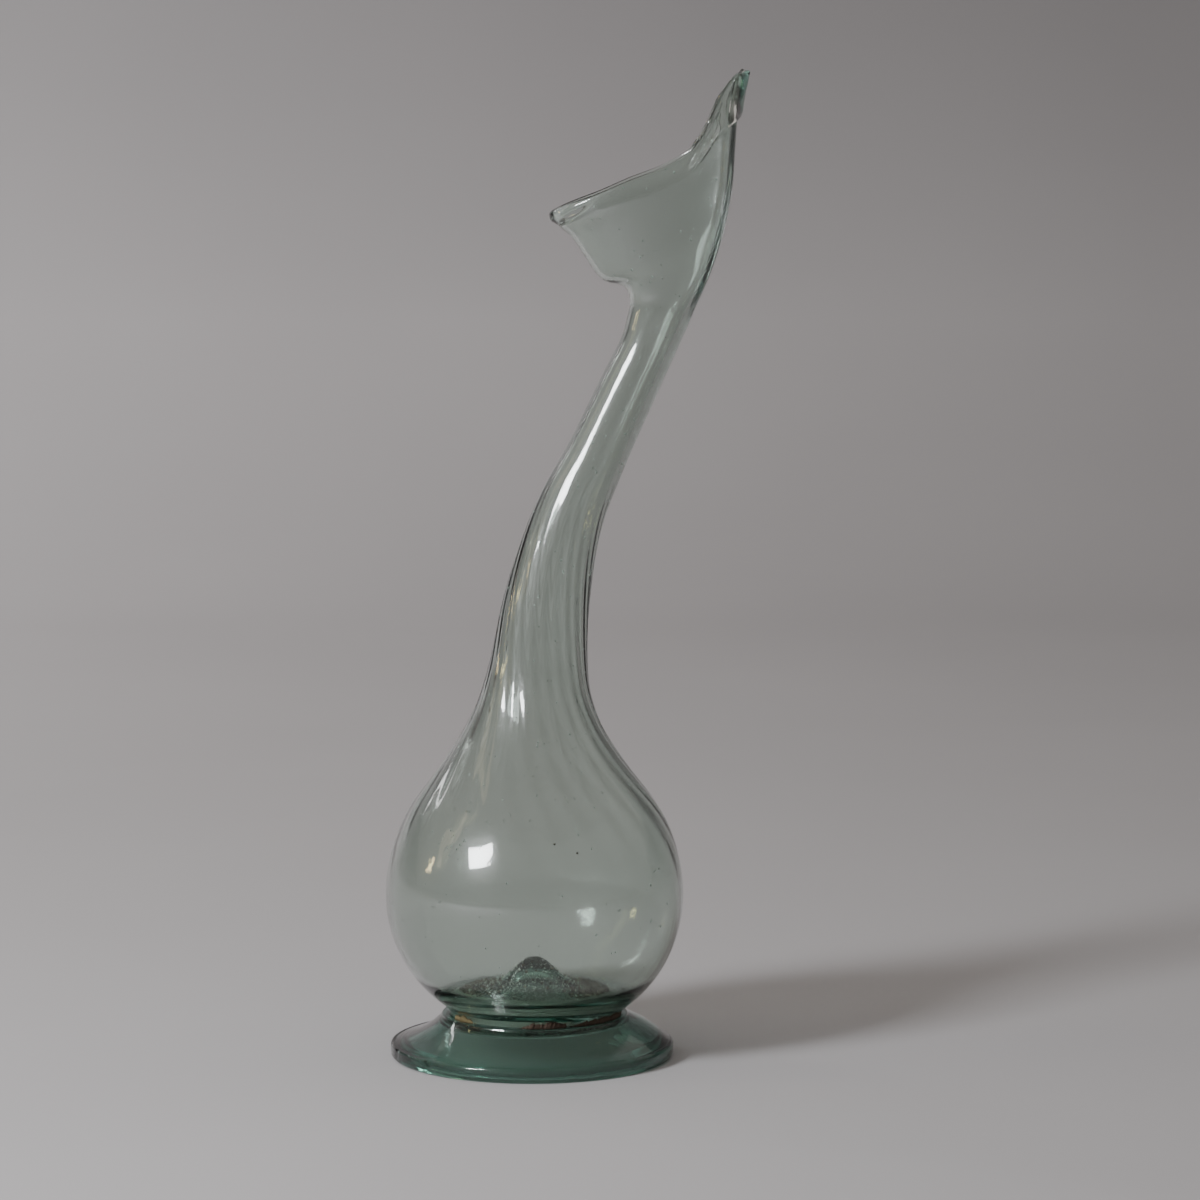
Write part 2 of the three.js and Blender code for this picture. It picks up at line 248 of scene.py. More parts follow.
def ramp(tree, factor, low, high, colour_low, colour_high):
    """A two-stop colour ramp between two places on its factor."""
    node = add_node(tree, "ShaderNodeValToRGB", {0: factor})
    node.color_ramp.elements[0].position = low
    node.color_ramp.elements[0].color = colour_low
    node.color_ramp.elements[1].position = high
    node.color_ramp.elements[1].color = colour_high
    return node.outputs[0]


def noise(tree, place, scale, detail):
    """A cloudy pattern from 0 to 1 in space."""
    inputs = {"Vector": place, "Scale": scale, "Detail": detail}
    return add_node(tree, "ShaderNodeTexNoise", inputs).outputs[0]


def calculate(tree, operation, a, b=0.0):
    """One step of arithmetic."""
    return add_node(tree, "ShaderNodeMath", {0: a, 1: b}, operation=operation).outputs[0]


def faded(tree, value, limits):
    """Runs a value from its own low and high to the low and high of the result, given in that order."""
    return add_node(tree, "ShaderNodeMapRange", {0: value, **dict(enumerate(limits, 1))}).outputs[0]


# %% [markdown]
# ## Floor and backdrop
# The vessel stands on a sweep: one sheet that is the floor in front and curves up into the backdrop
# behind, so that no horizon shows through the glass. It is built as a strip of quads along a profile
# of a line, a quarter circle and a line. Its paper carries painted shade: its colour grows darker toward
# the back, the top and the right, as a backdrop does when its light comes from one side.

# %% Sweep
SWEEP_HALF_WIDTH = 7
SWEEP_FRONT = -8
SWEEP_BEND_START = 1.2
SWEEP_BEND_RADIUS = 0.9
SWEEP_TOP = 1.6
BEND_STEPS = 24
PAPER_SCALE = 3.0
PAPER_DARK = (0.44, 0.42, 0.435, 1)
PAPER_PALE = (0.46, 0.44, 0.455, 1)
# Each fade of painted shade runs between two places in metres, then gives the brightness at both
PAINTED_SHADE_BACK = (0.1, 1.4, 0.96, 0.93)
PAINTED_SHADE_TOP = (1.7, 2.05, 1.0, 0.62)
PAINTED_SHADE_RIGHT = (-0.4, 0.4, 1.08, 0.79)


def sweep_mesh():
    """The sheet's profile runs back along the floor, round the bend and up the wall."""
    profile = [(SWEEP_FRONT, 0.0), (SWEEP_BEND_START, 0.0)]
    for step in range(1, BEND_STEPS + 1):
        turn = math.pi / 2 * step / BEND_STEPS
        profile.append((
            SWEEP_BEND_START + SWEEP_BEND_RADIUS * math.sin(turn),
            SWEEP_BEND_RADIUS * (1 - math.cos(turn)),
        ))
    profile.append((profile[-1][0], SWEEP_TOP))
    points = [(side, y, z) for y, z in profile for side in (-SWEEP_HALF_WIDTH, SWEEP_HALF_WIDTH)]
    faces = [(2 * i, 2 * i + 1, 2 * i + 3, 2 * i + 2) for i in range(len(profile) - 1)]
    mesh = bpy.data.meshes.new("sweep")
    mesh.from_pydata(points, [], faces)
    mesh.polygons.foreach_set("use_smooth", [True] * len(faces))
    return mesh


def sweep_material():
    """Matt grey paper with a very faint mottle, and painted shade that darkens it toward the back, the top
    and the right.
    """
    material, output = new_material("grey_paper_painted_shade")
    tree = material.node_tree
    place = add_node(tree, "ShaderNodeTexCoord").outputs["Object"]
    plain = ramp(tree, noise(tree, place, PAPER_SCALE, detail=3.0), 0.3, 0.7, PAPER_DARK, PAPER_PALE)
    away = add_node(tree, "ShaderNodeSeparateXYZ", {0: place}).outputs
    # These three fades are painted shade: the paper's colour darkens where a side light would fall off.
    back, side = faded(tree, away["Y"], PAINTED_SHADE_BACK), faded(tree, away["X"], PAINTED_SHADE_RIGHT)
    painted_shade = calculate(tree, "MULTIPLY", back, side)
    painted_shade = calculate(tree, "MULTIPLY", painted_shade, faded(tree, away["Y"], PAINTED_SHADE_TOP))
    colour = add_node(tree, "ShaderNodeVectorMath", {0: plain, "Scale": painted_shade}, operation="SCALE").outputs[0]
    shader = add_node(tree, "ShaderNodeBsdfPrincipled", {"Base Color": colour, "Roughness": 0.9})
    tree.links.new(shader.outputs[0], output.inputs["Surface"])
    return material


sweep = add_object("sweep", sweep_mesh(), sweep_material())
sweep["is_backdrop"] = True
print("sweep has", len(sweep.data.polygons), "faces")

# %% [markdown]
# ## Lamps and sky
# Glass shows its lights as reflections, so each lamp is placed for the spot that it leaves. A picture of
# a room could light it all at once, but single lamps can be moved one by one. A soft one like a window
# stands at the left in front and makes the clear reflections. Two weak warm ones further round the side
# leave the small yellow glints, a wash lights the backdrop only, and a weak sky that is brighter overhead
# fills the shadows.

# %% Lamps and sky
OBJECT_MIDDLE = Vector((0, 0, 0.17))
SKY_LOW = (0.3, 0.285, 0.265, 1)
SKY_HIGH = (0.78, 0.74, 0.69, 1)
SKY_STRENGTH = 0.75


def around(azimuth, elevation, distance):
    """A place round the vessel. Azimuth 0 is in front of it, and 90 is at the left of the picture."""
    turn, lift = math.radians(azimuth), math.radians(elevation)
    away = Vector((-math.sin(turn) * math.cos(lift), -math.cos(turn) * math.cos(lift), math.sin(lift)))
    return OBJECT_MIDDLE + away * distance


def add_lamp(name, place, aim, size, power, colour=(1, 1, 1), roll=0):
    """A soft rectangular lamp, turned to its aim and rolled about its own axis by some degrees."""
    data = bpy.data.lights.new(name, "AREA")
    data.shape = "RECTANGLE"
    data.size, data.size_y = size
    data.energy = power
    data.color = colour
    lamp = add_object(name, data)
    lamp.location = place
    facing = (place - aim).to_track_quat("Z", "Y")
    lamp.rotation_euler = (facing @ Quaternion((0, 0, 1), math.radians(roll))).to_euler()


add_lamp("window", around(azimuth=49, elevation=23.5, distance=1.5), aim=OBJECT_MIDDLE,
         size=(0.36, 0.36), power=31, colour=(0.95, 0.985, 1), roll=24)
add_lamp("warm_door", around(azimuth=93, elevation=9, distance=2), aim=OBJECT_MIDDLE,
         size=(0.12, 0.22), power=1.2, colour=(1, 0.8, 0.4))
add_lamp("warm_wall", around(azimuth=84, elevation=28, distance=2), aim=OBJECT_MIDDLE,
         size=(0.25, 1.3), power=1.3, colour=(1, 0.88, 0.55))
add_lamp("backdrop_wash", Vector((-1.1, 1.0, 0.9)), aim=Vector((-0.35, 2.05, 0.1)),
         size=(0.5, 0.5), power=7)

sky = bpy.data.worlds.new("sky")
sky.use_nodes = True
upward = add_node(sky.node_tree, "ShaderNodeSeparateXYZ", {
    0: add_node(sky.node_tree, "ShaderNodeTexCoord").outputs["Generated"]}).outputs["Z"]
background = sky.node_tree.nodes["Background"].inputs
sky.node_tree.links.new(ramp(sky.node_tree, upward, 0.1, 0.9, SKY_LOW, SKY_HIGH), background["Color"])
background["Strength"].default_value = SKY_STRENGTH
bpy.context.scene.world = sky
print("lamps:", [lamp.name for lamp in bpy.data.lights])

# %% [markdown]
# ## Glass
# Glass gets its green from its own depth: a thin wall is nearly clear, and a thick rim goes dark. A
# tinted surface would be simpler, but it can't tell thick from thin. So the colour is a volume absorption
# inside the closed mesh, with plain values, and the surface itself is only faintly tinted. Real glass has
# one density of colour. Here the foot's is denser than the bottle's, because one number made either the
# walls too dark or the foot too pale.
#
# Noise drives small differences in gloss and a bump for the uneven hand-blown skin. Age left a faint
# bloom, which is a thin rough coat that spreads a halo round each reflection.
#
# Two stored numbers change the skin where the real glass is one mass. Where "fused" is 1, light passes
# straight through, because no surface is there on the real vessel, and "film" says how much of such a
# place is clouded by a pale film. The film is partly old dirt and partly painted light, which lightens
# the waist where light shines through the real fused glass.

# %% Glass material
ABSORPTION_COLOUR = (0.05, 0.5, 0.4, 1)
SURFACE_TINT = (0.775, 0.83, 0.79, 1)
# The film's pale colour is partly old dirt and partly painted light on the fused waist.
FILM_PAINTED_LIGHT_COLOUR = (0.5, 0.56, 0.48, 1)
GLASS_IOR = 1.5
BLOOM_WEIGHT = 0.3
BLOOM_ROUGHNESS = 0.22
GRAIN_SCALE = 900.0
PATCH_SCALE = 28.0
CLEAN_GLOSS = (0.025, 0.025, 0.025, 1)
DULL_GLOSS = (0.09, 0.09, 0.09, 1)


def glass_material(name, depth_density, streak_scale):
    """Clear green glass with a slightly wavy skin. Density is per metre of glass."""
    material, output = new_material(name)
    tree = material.node_tree
    place = add_node(tree, "ShaderNodeTexCoord").outputs["Object"]
    stretched = add_node(tree, "ShaderNodeMapping", {"Vector": place, "Scale": (1, 1, 0.25)}).outputs[0]
    patches = noise(tree, place, PATCH_SCALE, detail=5.0)
    streaks = noise(tree, stretched, streak_scale, detail=3.0)
    grain = noise(tree, place, GRAIN_SCALE, detail=2.0)
    roughness = ramp(tree, patches, 0.4, 0.8, CLEAN_GLOSS, DULL_GLOSS)
    waves = add_node(tree, "ShaderNodeBump", {"Strength": 0.25, "Distance": 0.0006, "Height": streaks})
    skin = add_node(tree, "ShaderNodeBump",
                    {"Strength": 0.12, "Distance": 0.00008, "Height": grain, "Normal": waves.outputs[0]})
    bloom = add_node(tree, "ShaderNodeBump",
                     {"Strength": 0.6, "Distance": 0.00015, "Height": grain, "Normal": waves.outputs[0]})
    shader = add_node(tree, "ShaderNodeBsdfPrincipled", {
        "Base Color": SURFACE_TINT,
        "Roughness": roughness,
        "IOR": GLASS_IOR,
        "Transmission Weight": 1.0,
        "Coat Weight": BLOOM_WEIGHT,
        "Coat Roughness": BLOOM_ROUGHNESS,
        "Coat Normal": bloom.outputs[0],
        "Normal": skin.outputs[0],
    })
    depth = add_node(tree, "ShaderNodeVolumeAbsorption",
                     {"Color": ABSORPTION_COLOUR, "Density": depth_density})
    fused = add_node(tree, "ShaderNodeAttribute", attribute_name="fused").outputs["Fac"]
    clear = add_node(tree, "ShaderNodeBsdfTransparent").outputs[0]
    film = add_node(tree, "ShaderNodeAttribute", attribute_name="film").outputs["Fac"]
    # A pale diffuse film: partly old dirt, partly painted light that lightens the waist.
    pale_painted_light = add_node(tree, "ShaderNodeBsdfDiffuse", {"Color": FILM_PAINTED_LIGHT_COLOUR}).outputs[0]
    joint = add_node(tree, "ShaderNodeMixShader", {0: film, 1: clear, 2: pale_painted_light}).outputs[0]
    surface = add_node(tree, "ShaderNodeMixShader", {0: fused, 1: shader.outputs[0], 2: joint})
    tree.links.new(surface.outputs[0], output.inputs["Surface"])
    tree.links.new(depth.outputs[0], output.inputs["Volume"])
    return material


thin_glass = glass_material("thin_green_glass", depth_density=17, streak_scale=55.0)
thick_glass = glass_material("thick_green_glass", depth_density=170, streak_scale=90.0)
print("glass materials:", thin_glass.name, "and", thick_glass.name)

# %% [markdown]
# ## Bottle
# The vessel is one skin of glass. It could be modelled by hand, but its shape follows a rule: rings of
# points climb the bulb and the neck, and in the mouth each ring is stretched between a front edge and a
# back edge. The same rings, moved inward by the thickness of the wall, make the inside, and a few rings
# round the rim close the two. Smooth curves run through the stations, as a draughtsman's spline does.

# %% Smooth curves through stations
COLUMNS = 192
BODY_ROWS = 150
MOUTH_ROWS = 56
RIM_ROWS = 8
BASE_ROWS = 32
CORNER_STEPS = 14
AXIS_CROWDING = 1.4
BULB_STEPS = 6
BODY_SPAN_STEPS = 60
RIM_SPAN_STEPS = 24


def smooth_step(start, end, value):
    """0 before start, 1 after end, and an easy curve between them."""
    share = np.clip((np.asarray(value, float) - start) / (end - start), 0, 1)
    return share * share * (3 - 2 * share)


def mix(start, end, share):
    return start + (end - start) * share


def hermite(p0, p1, slope0, slope1, t):
    """A cubic from p0 to p1 with the given slopes at its ends."""
    return (p0 + slope0 * t + (3 * (p1 - p0) - 2 * slope0 - slope1) * t ** 2
            + (2 * (p0 - p1) + slope0 + slope1) * t ** 3)


def smooth_line(stations, per_span):
    """A centripetal spline: it passes through every station and doesn't overshoot on uneven spans."""
    padded = np.vstack([2 * stations[0] - stations[1], stations, 2 * stations[-1] - stations[-2]])
    points = []
    for a, b, c, d in zip(padded, padded[1:], padded[2:], padded[3:]):
        ab, bc, cd = (math.sqrt(np.linalg.norm(q - p)) for p, q in ((a, b), (b, c), (c, d)))
        slope_b = ((b - a) / ab - (c - a) / (ab + bc) + (c - b) / bc) * bc
        slope_c = ((c - b) / bc - (d - b) / (bc + cd) + (d - c) / cd) * bc
        for t in np.arange(per_span) / per_span:
            points.append(hermite(b, c, slope_b, slope_c, t))
    points.append(stations[-1])
    return np.array(points)


def table_curve(values, share):
    """A uniform spline through evenly spaced values."""
    place = share * (len(values) - 1)
    span = min(int(place), len(values) - 2)
    before, after = max(span - 1, 0), min(span + 2, len(values) - 1)
    slope0 = (values[span + 1] - values[before]) / 2
    slope1 = (values[after] - values[span]) / 2
    return hermite(values[span], values[span + 1], slope0, slope1, place - span)


def bezier(points, count):
    """Evenly stepped points of a quadratic or cubic Bezier curve."""
    t = np.linspace(0, 1, count + 1)[:, None]
    order = len(points) - 1
    return sum(math.comb(order, k) * (1 - t) ** (order - k) * t ** k * np.asarray(point)
               for k, point in enumerate(points))


# %% Rings of the bulb and the neck
angles = np.arange(COLUMNS) * 2 * math.pi / COLUMNS


def ring(lean, height, tilt, radius):
    """One ring of points round the centre line, square to its tilt."""
    out = radius * np.cos(angles)
    return np.stack([AXIS_X + lean + out * math.cos(tilt), radius * np.sin(angles),
                     height - out * math.sin(tilt)], axis=1)


def body_stations():
    """Lean, radius and height of each station, from the waist to the end of the neck."""
    depth = (BULB_CENTRE - WAIST_HEIGHT) / math.sqrt(1 - (WAIST_RADIUS / BULB_RADIUS) ** 2)
    lowest = math.asin((BULB_CENTRE - WAIST_HEIGHT) / depth)
    highest = math.asin((SHOULDER_HEIGHT - BULB_CENTRE) / BULB_RISE)
    stations = []
    for step in range(BULB_STEPS):
        left = 1 - step / BULB_STEPS
        stations.append((WAIST_LEAN * left ** 2, BULB_RADIUS * math.cos(lowest * left),
                         BULB_CENTRE - depth * math.sin(lowest * left)))
    for step in range(BULB_STEPS + 1):
        angle = highest * step / BULB_STEPS
        stations.append((0, BULB_RADIUS * math.cos(angle), BULB_CENTRE + BULB_RISE * math.sin(angle)))
    for lean, rise, fall in NECK_SHAPE:
        stations.append((mix(NECK_ROOT_LEAN, NECK_END_LEAN, lean),
                         mix(NECK_ROOT_RADIUS, NECK_THIN_RADIUS, fall),
                         mix(NECK_ROOT_HEIGHT, NECK_END_HEIGHT, rise)))
    return np.array(stations)


def body_rings():
    """Evenly spaced rings along the spline."""
    dense = smooth_line(body_stations(), BODY_SPAN_STEPS)
    steps = np.linalg.norm(np.diff(dense, axis=0), axis=1)
    length = np.concatenate([[0], np.cumsum(steps)])
    shares = np.linspace(0, length[-1], BODY_ROWS + 1)
    line = np.stack([np.interp(shares, length, dense[:, k]) for k in range(3)], axis=1)
    along = np.gradient(line, axis=0)
    tilts = np.arctan2(along[:, 0], along[:, 2]) * smooth_step(SHOULDER_HEIGHT, NECK_ROOT_HEIGHT, line[:, 2])
    return [ring(lean, height, tilt, radius) for (lean, radius, height), tilt in zip(line, tilts)]


body = body_rings()
print(len(body), "rings from the waist to the neck's end")

# %% Rings of the mouth
RIM_CURVE = smooth_line(RIM_SHAPE, RIM_SPAN_STEPS)


def rim_sag(across):
    """How far the rim dips below a straight line from lip to tip, as a share of the sag."""
    return np.interp(across, RIM_CURVE[:, 0], RIM_CURVE[:, 1])


def mouth_rings(neck_end):
    """Each ring lies between a point of the front edge and a point of the back edge."""
    neck_back, neck_front = neck_end[0], neck_end[COLUMNS // 2]
    neck_radius = np.linalg.norm(neck_front - neck_back) / 2
    lip = np.array([AXIS_X + LIP_LEAN, 0, LIP_HEIGHT])
    tip = np.array([AXIS_X + TIP_LEAN, 0, TIP_HEIGHT])
    across = (1 + np.cos(angles)) / 2
    rings = []
    for row in range(1, MOUTH_ROWS + 1):
        share = row / MOUTH_ROWS
        front_out, front_up, back_out, back_up, spread = (
            table_curve(MOUTH_SHAPE[:, k], share) for k in range(5))
        front = mix(neck_front, lip, np.array([front_out, 0, front_up]))
        back = mix(neck_back, tip, np.array([back_out, 0, back_up]))
        chord = back - front
        down = np.array([chord[2], 0, -chord[0]]) / np.linalg.norm(chord)
        points = front + np.outer(across, chord)
        points += np.outer(RIM_SAG * share ** 2 * rim_sag(across), down)
        half_width = mix(neck_radius, MOUTH_WIDTH / 2, spread)
        near_rim = smooth_step(TIP_NARROWING_START, 1, share)
        flattening = BACK_FLATTENING * smooth_step(0, TROUGH_START, share) * (1 - RIM_EASING * near_rim)
        fullness = np.abs(np.sin(angles)) ** (1 - flattening * across)
        narrowing = 1 - TIP_NARROWING * near_rim * across ** 3
        points[:, 1] = half_width * np.sign(np.sin(angles)) * fullness * narrowing
        rings.append(points)
    return rings


skin = np.array(body + mouth_rings(body[-1]))
print("skin has", skin.shape[0], "rings of", skin.shape[1], "points")

# %% Thickness, bead and pad
NECK_WALL_START = 0.4
NECK_WALL_FULL = 0.6
MOUTH_WALL_FULL = 0.4
BACK_THINNING = 0.5
PAD_END_ROUNDING = 0.25
PAD_SIDE_ROUNDING = 0.8

body_share = np.clip(np.arange(len(skin)) / BODY_ROWS, 0, 1)[:, None]
mouth_share = np.clip((np.arange(len(skin)) - BODY_ROWS) / MOUTH_ROWS, 0, 1)[:, None]
across_mouth = ((1 + np.cos(angles)) / 2)[None, :]
at_back = across_mouth ** 4
rim_thickness = mix(LIP_BEAD, RIM_THICKNESS, smooth_step(0, LIP_BEAD_END, across_mouth))

wall = mix(BULB_WALL, NECK_WALL, smooth_step(NECK_WALL_START, NECK_WALL_FULL, body_share))
wall = mix(wall, MOUTH_WALL, smooth_step(0, MOUTH_WALL_FULL, mouth_share))
backing = smooth_step(NECK_WALL_FULL, 1, body_share) * (1 - smooth_step(BACK_THINNING, 1, mouth_share))
bottom = 1 - smooth_step(FLOOR_HEIGHT, THICKENING_HEIGHT, skin[:, :, 2])
wall = wall + BACK_THICKENING * at_back * backing + BOTTOM_THICKENING * bottom

bead = (rim_thickness - MOUTH_WALL) * smooth_step(1 - BEAD_DEPTH, 1, mouth_share)
below_tip = (TIP_HEIGHT - skin[:, :, 2]) / TIP_PAD_LENGTH
aside = np.abs(skin[:, :, 1]) / (TIP_PAD_WIDTH / 2)
pad = TIP_PAD * smooth_step(0, PAD_END_ROUNDING, 1 - below_tip)
pad = pad * smooth_step(0, PAD_SIDE_ROUNDING, 1 - aside)


def skin_normals(rings):
    """Outward directions, square to the neighbours along both directions of the grid."""
    around = np.roll(rings, -1, axis=1) - np.roll(rings, 1, axis=1)
    upward = np.gradient(rings, axis=0)
    normals = np.cross(around, upward)
    return normals / np.linalg.norm(normals, axis=2, keepdims=True)


normals = skin_normals(skin)
outer_skin = skin + normals * (bead * BEAD_OUTSIDE)[:, :, None]
inner_skin = skin - normals * (wall + bead * (1 - BEAD_OUTSIDE))[:, :, None]
print("walls run from", round(wall.min() / MM, 2), "to", round(wall.max() / MM, 2), "mm")

# %% Pushed-in base
def kick_height(radius):
    """Height of the inside floor, with the kick pushed up in its middle and a knob on the kick."""
    knob, cone = np.exp(-((radius / KNOB_RADIUS) ** KNOB_FLATNESS)), np.exp(-((radius / KICK_RADIUS) ** 2))
    return FLOOR_HEIGHT + KICK_HEIGHT * mix(cone, knob, KNOB_SHARE)


def underside_height(radius):
    """Height of the vessel's underside, down to its joint with the foot."""
    middle = kick_height(radius) - BASE_WALL
    return mix(middle, COLLAR_HEIGHT + JOINT_GAP, smooth_step(UNDERSIDE_RADIUS, JOINT_RADIUS, radius))


def base_radii(edge):
    """Radii from the axis out to the edge, closer together near the axis."""
    return edge * (np.arange(BASE_ROWS) / (BASE_ROWS - 1)) ** AXIS_CROWDING


def base_rings(height_at, edge):
    """Rings from a single point on the axis out to the edge."""
    return [ring(0, height_at(radius), 0, radius) for radius in base_radii(edge)]


def corner_rings(wall_ring, ring_above):
    """Rings round the inside corner, where the wall curves into the floor and leaves no edge."""
    start, above = (np.array([points[:, 0].mean() - AXIS_X, np.ptp(points[:, 0]) / 2, points[:, 2].mean()])
                    for points in (wall_ring, ring_above))
    end = np.array([0, FLOOR_RADIUS, kick_height(FLOOR_RADIUS)])
    wall_slope = (above[1] - start[1]) / (above[2] - start[2])
    floor_slope = (end[2] - kick_height(FLOOR_RADIUS - MM)) / MM
    rise = end[2] - floor_slope * end[1] - start[2]
    meeting = (start[1] + wall_slope * rise) / (1 - wall_slope * floor_slope)
    control = np.array([start[0], meeting, end[2] + floor_slope * (meeting - end[1])])
    curve = bezier([start, control, end], CORNER_STEPS)[1:-1]
    return [ring(lean, height, 0, radius) for lean, radius, height in curve]


# %% One closed mesh
def loft_mesh(name, sections):
    """Joins rings into one closed skin. The first and last rings have no width and become single points."""
    grid = np.array(sections)
    rows, columns = grid.shape[:2]
    inner = grid[1:-1].reshape(-1, 3)
    points = np.vstack([grid[0, 0], inner, grid[-1, 0]])
    last = len(points) - 1
    faces = []
    for column in range(columns):
        following = (column + 1) % columns
        faces.append((0, 1 + column, 1 + following))
        for row in range(rows - 3):
            low, high = 1 + row * columns, 1 + (row + 1) * columns
            faces.append((low + column, low + following, high + following, high + column))
        low = 1 + (rows - 3) * columns
        faces.append((low + column, low + following, last))
    mesh = bpy.data.meshes.new(name)
    mesh.from_pydata(points.tolist(), [], faces)
    mesh.polygons.foreach_set("use_smooth", [True] * len(faces))
    return mesh


def rim_rings():
    """Half circles over the rim, from the outside to the inside."""
    outside, inside = outer_skin[-1], inner_skin[-1]
    upward = skin[-1] - skin[-2]
    upward /= np.linalg.norm(upward, axis=1, keepdims=True)
    middle, half = (outside + inside) / 2, (outside - inside) / 2
    rise = upward * (RIM_RISE + (rim_thickness - RIM_THICKNESS) / 2 - RIM_TUCK * pad[-1:]).T
    turns = math.pi * np.arange(1, RIM_ROWS) / RIM_ROWS
    return [middle + half * math.cos(turn) + rise * math.sin(turn) for turn in turns]


floor_row = int(np.argmax(skin[:, 0, 2] > FLOOR_HEIGHT + BASE_WALL))
inner_rows = len(skin) - floor_row
sections = base_rings(underside_height, JOINT_RADIUS)
first_outer = len(sections)
sections += list(outer_skin) + rim_rings()
after_outer = len(sections)
sections += list(inner_skin[::-1][:inner_rows])
sections += corner_rings(inner_skin[floor_row], inner_skin[floor_row + 1])
sections += base_rings(kick_height, FLOOR_RADIUS)[::-1]
bottle_mesh = loft_mesh("bottle_glass", sections)
print("bottle mesh:", len(bottle_mesh.vertices), "points")

# %% [markdown]
# ## Where the glass is fused
# The solids of bottle and foot stand apart by a hair, but the real ones were joined hot and are one mass.
# The two could be merged into one mesh, but they have to stay two pieces. So the script stores a number
# at each point instead: the underside of the bottle and the top of the foot below it are marked as fused,
# but for their outermost ring, and a pale film clouds the outer part of the joint. The film is partly old
# dirt and partly painted light, which lightens the waist where light shines through the real fused glass.
#
# The inside of the mouth's and the upper neck's back gets a little of the same number. Light that runs
# along inside a wall comes out again where real glass is uneven, but the renderer gives it up after some
# bounces, which left a black line there.

# %% Store the fused places and the film
FILM_PAINTED_LIGHT_COVER = 0.85
FILM_START = 21 * MM
WALL_ESCAPE = 0.07


def store_float(mesh, name, values):
    """Writes one number for each point of a mesh."""
    mesh.attributes.new(name, "FLOAT", "POINT").data.foreach_set("value", np.asarray(values, float).ravel())


def store_by_ring(mesh, name, values):
    """Writes one number for each ring of a lofted mesh."""
    columns = (len(mesh.vertices) - 2) // (len(values) - 2)
    store_float(mesh, name, np.concatenate([values[:1], np.repeat(values[1:-1], columns), values[-1:]]))


escape = WALL_ESCAPE * at_back ** 2 * smooth_step(NECK_WALL_FULL, 1, body_share)
is_fused = np.zeros((len(sections), COLUMNS))
is_fused[:BASE_ROWS - 1] = 1
is_fused[after_outer:after_outer + inner_rows] = escape[::-1][:inner_rows]
store_float(bottle_mesh, "fused", np.concatenate([[1], is_fused[1:-1].ravel(), [0]]))
# How much of the joint the film covers: partly old dirt, partly painted light on the waist.
film = np.zeros(len(sections))
film[:BASE_ROWS] = FILM_PAINTED_LIGHT_COVER * smooth_step(FILM_START, UNDERSIDE_RADIUS, base_radii(JOINT_RADIUS))
store_by_ring(bottle_mesh, "film", film)
print("fused rings under the bottle:", BASE_ROWS - 1)

# %% [markdown]
# ## Twisted ribs
# The bubble of glass was first blown into a ribbed mould, then twisted and stretched, which left faint
# ribs that wind up the shoulder. They repeat by a rule, so Geometry Nodes makes them: the script stores
# how far round and how strong the rib is at each point, and a small tree moves the outside skin along
# its normal by a cosine of that angle.

# %% Store the ribs' angle and strength
RIB_COUNT = 24
RIB_DEPTH = 0.16 * MM
RIB_TWIST = math.radians(0.55) / MM
RIB_LOW = (58 * MM, 96 * MM)
RIB_HIGH = (150 * MM, 215 * MM)

heights = np.array(sections)[1:-1, :, 2]
rib_angle = np.tile(angles, (len(heights), 1)) + RIB_TWIST * heights
strength = smooth_step(*RIB_LOW, heights) * (1 - smooth_step(*RIB_HIGH, heights))
is_outer = np.zeros(len(heights))
is_outer[first_outer - 1:first_outer - 1 + BODY_ROWS] = 1
strength *= is_outer[:, None]
store_float(bottle_mesh, "rib_angle", np.concatenate([[0], rib_angle.ravel(), [0]]))
store_float(bottle_mesh, "rib_strength", np.concatenate([[0], strength.ravel(), [0]]))

# %% Rib tree
def new_tree(name, inputs):
    """A geometry tree with one geometry in and out, and named number inputs with their usual values."""
    tree = bpy.data.node_groups.new(name, "GeometryNodeTree")
    tree.interface.new_socket("Geometry", in_out="INPUT", socket_type="NodeSocketGeometry")
    for label, (kind, value) in inputs.items():
        socket = tree.interface.new_socket(label, in_out="INPUT", socket_type=kind)
        if value is not None:
            socket.default_value = value
    tree.interface.new_socket("Geometry", in_out="OUTPUT", socket_type="NodeSocketGeometry")
    return tree, add_node(tree, "NodeGroupInput").outputs, add_node(tree, "NodeGroupOutput")


def named_number(tree, name):
    """Reads a stored number in a geometry tree."""
    return add_node(tree, "GeometryNodeInputNamedAttribute", {"Name": name}, data_type="FLOAT").outputs[0]


def end_tree(tree, geometry, material, output):
    """Makes instances real, shades them smooth and gives them their material."""
    real = add_node(tree, "GeometryNodeRealizeInstances", {"Geometry": geometry})
    smooth = add_node(tree, "GeometryNodeSetShadeSmooth", {"Geometry": real.outputs[0]})
    painted = add_node(tree, "GeometryNodeSetMaterial",
                       {"Geometry": smooth.outputs[0], "Material": material})
    tree.links.new(painted.outputs[0], output.inputs["Geometry"])


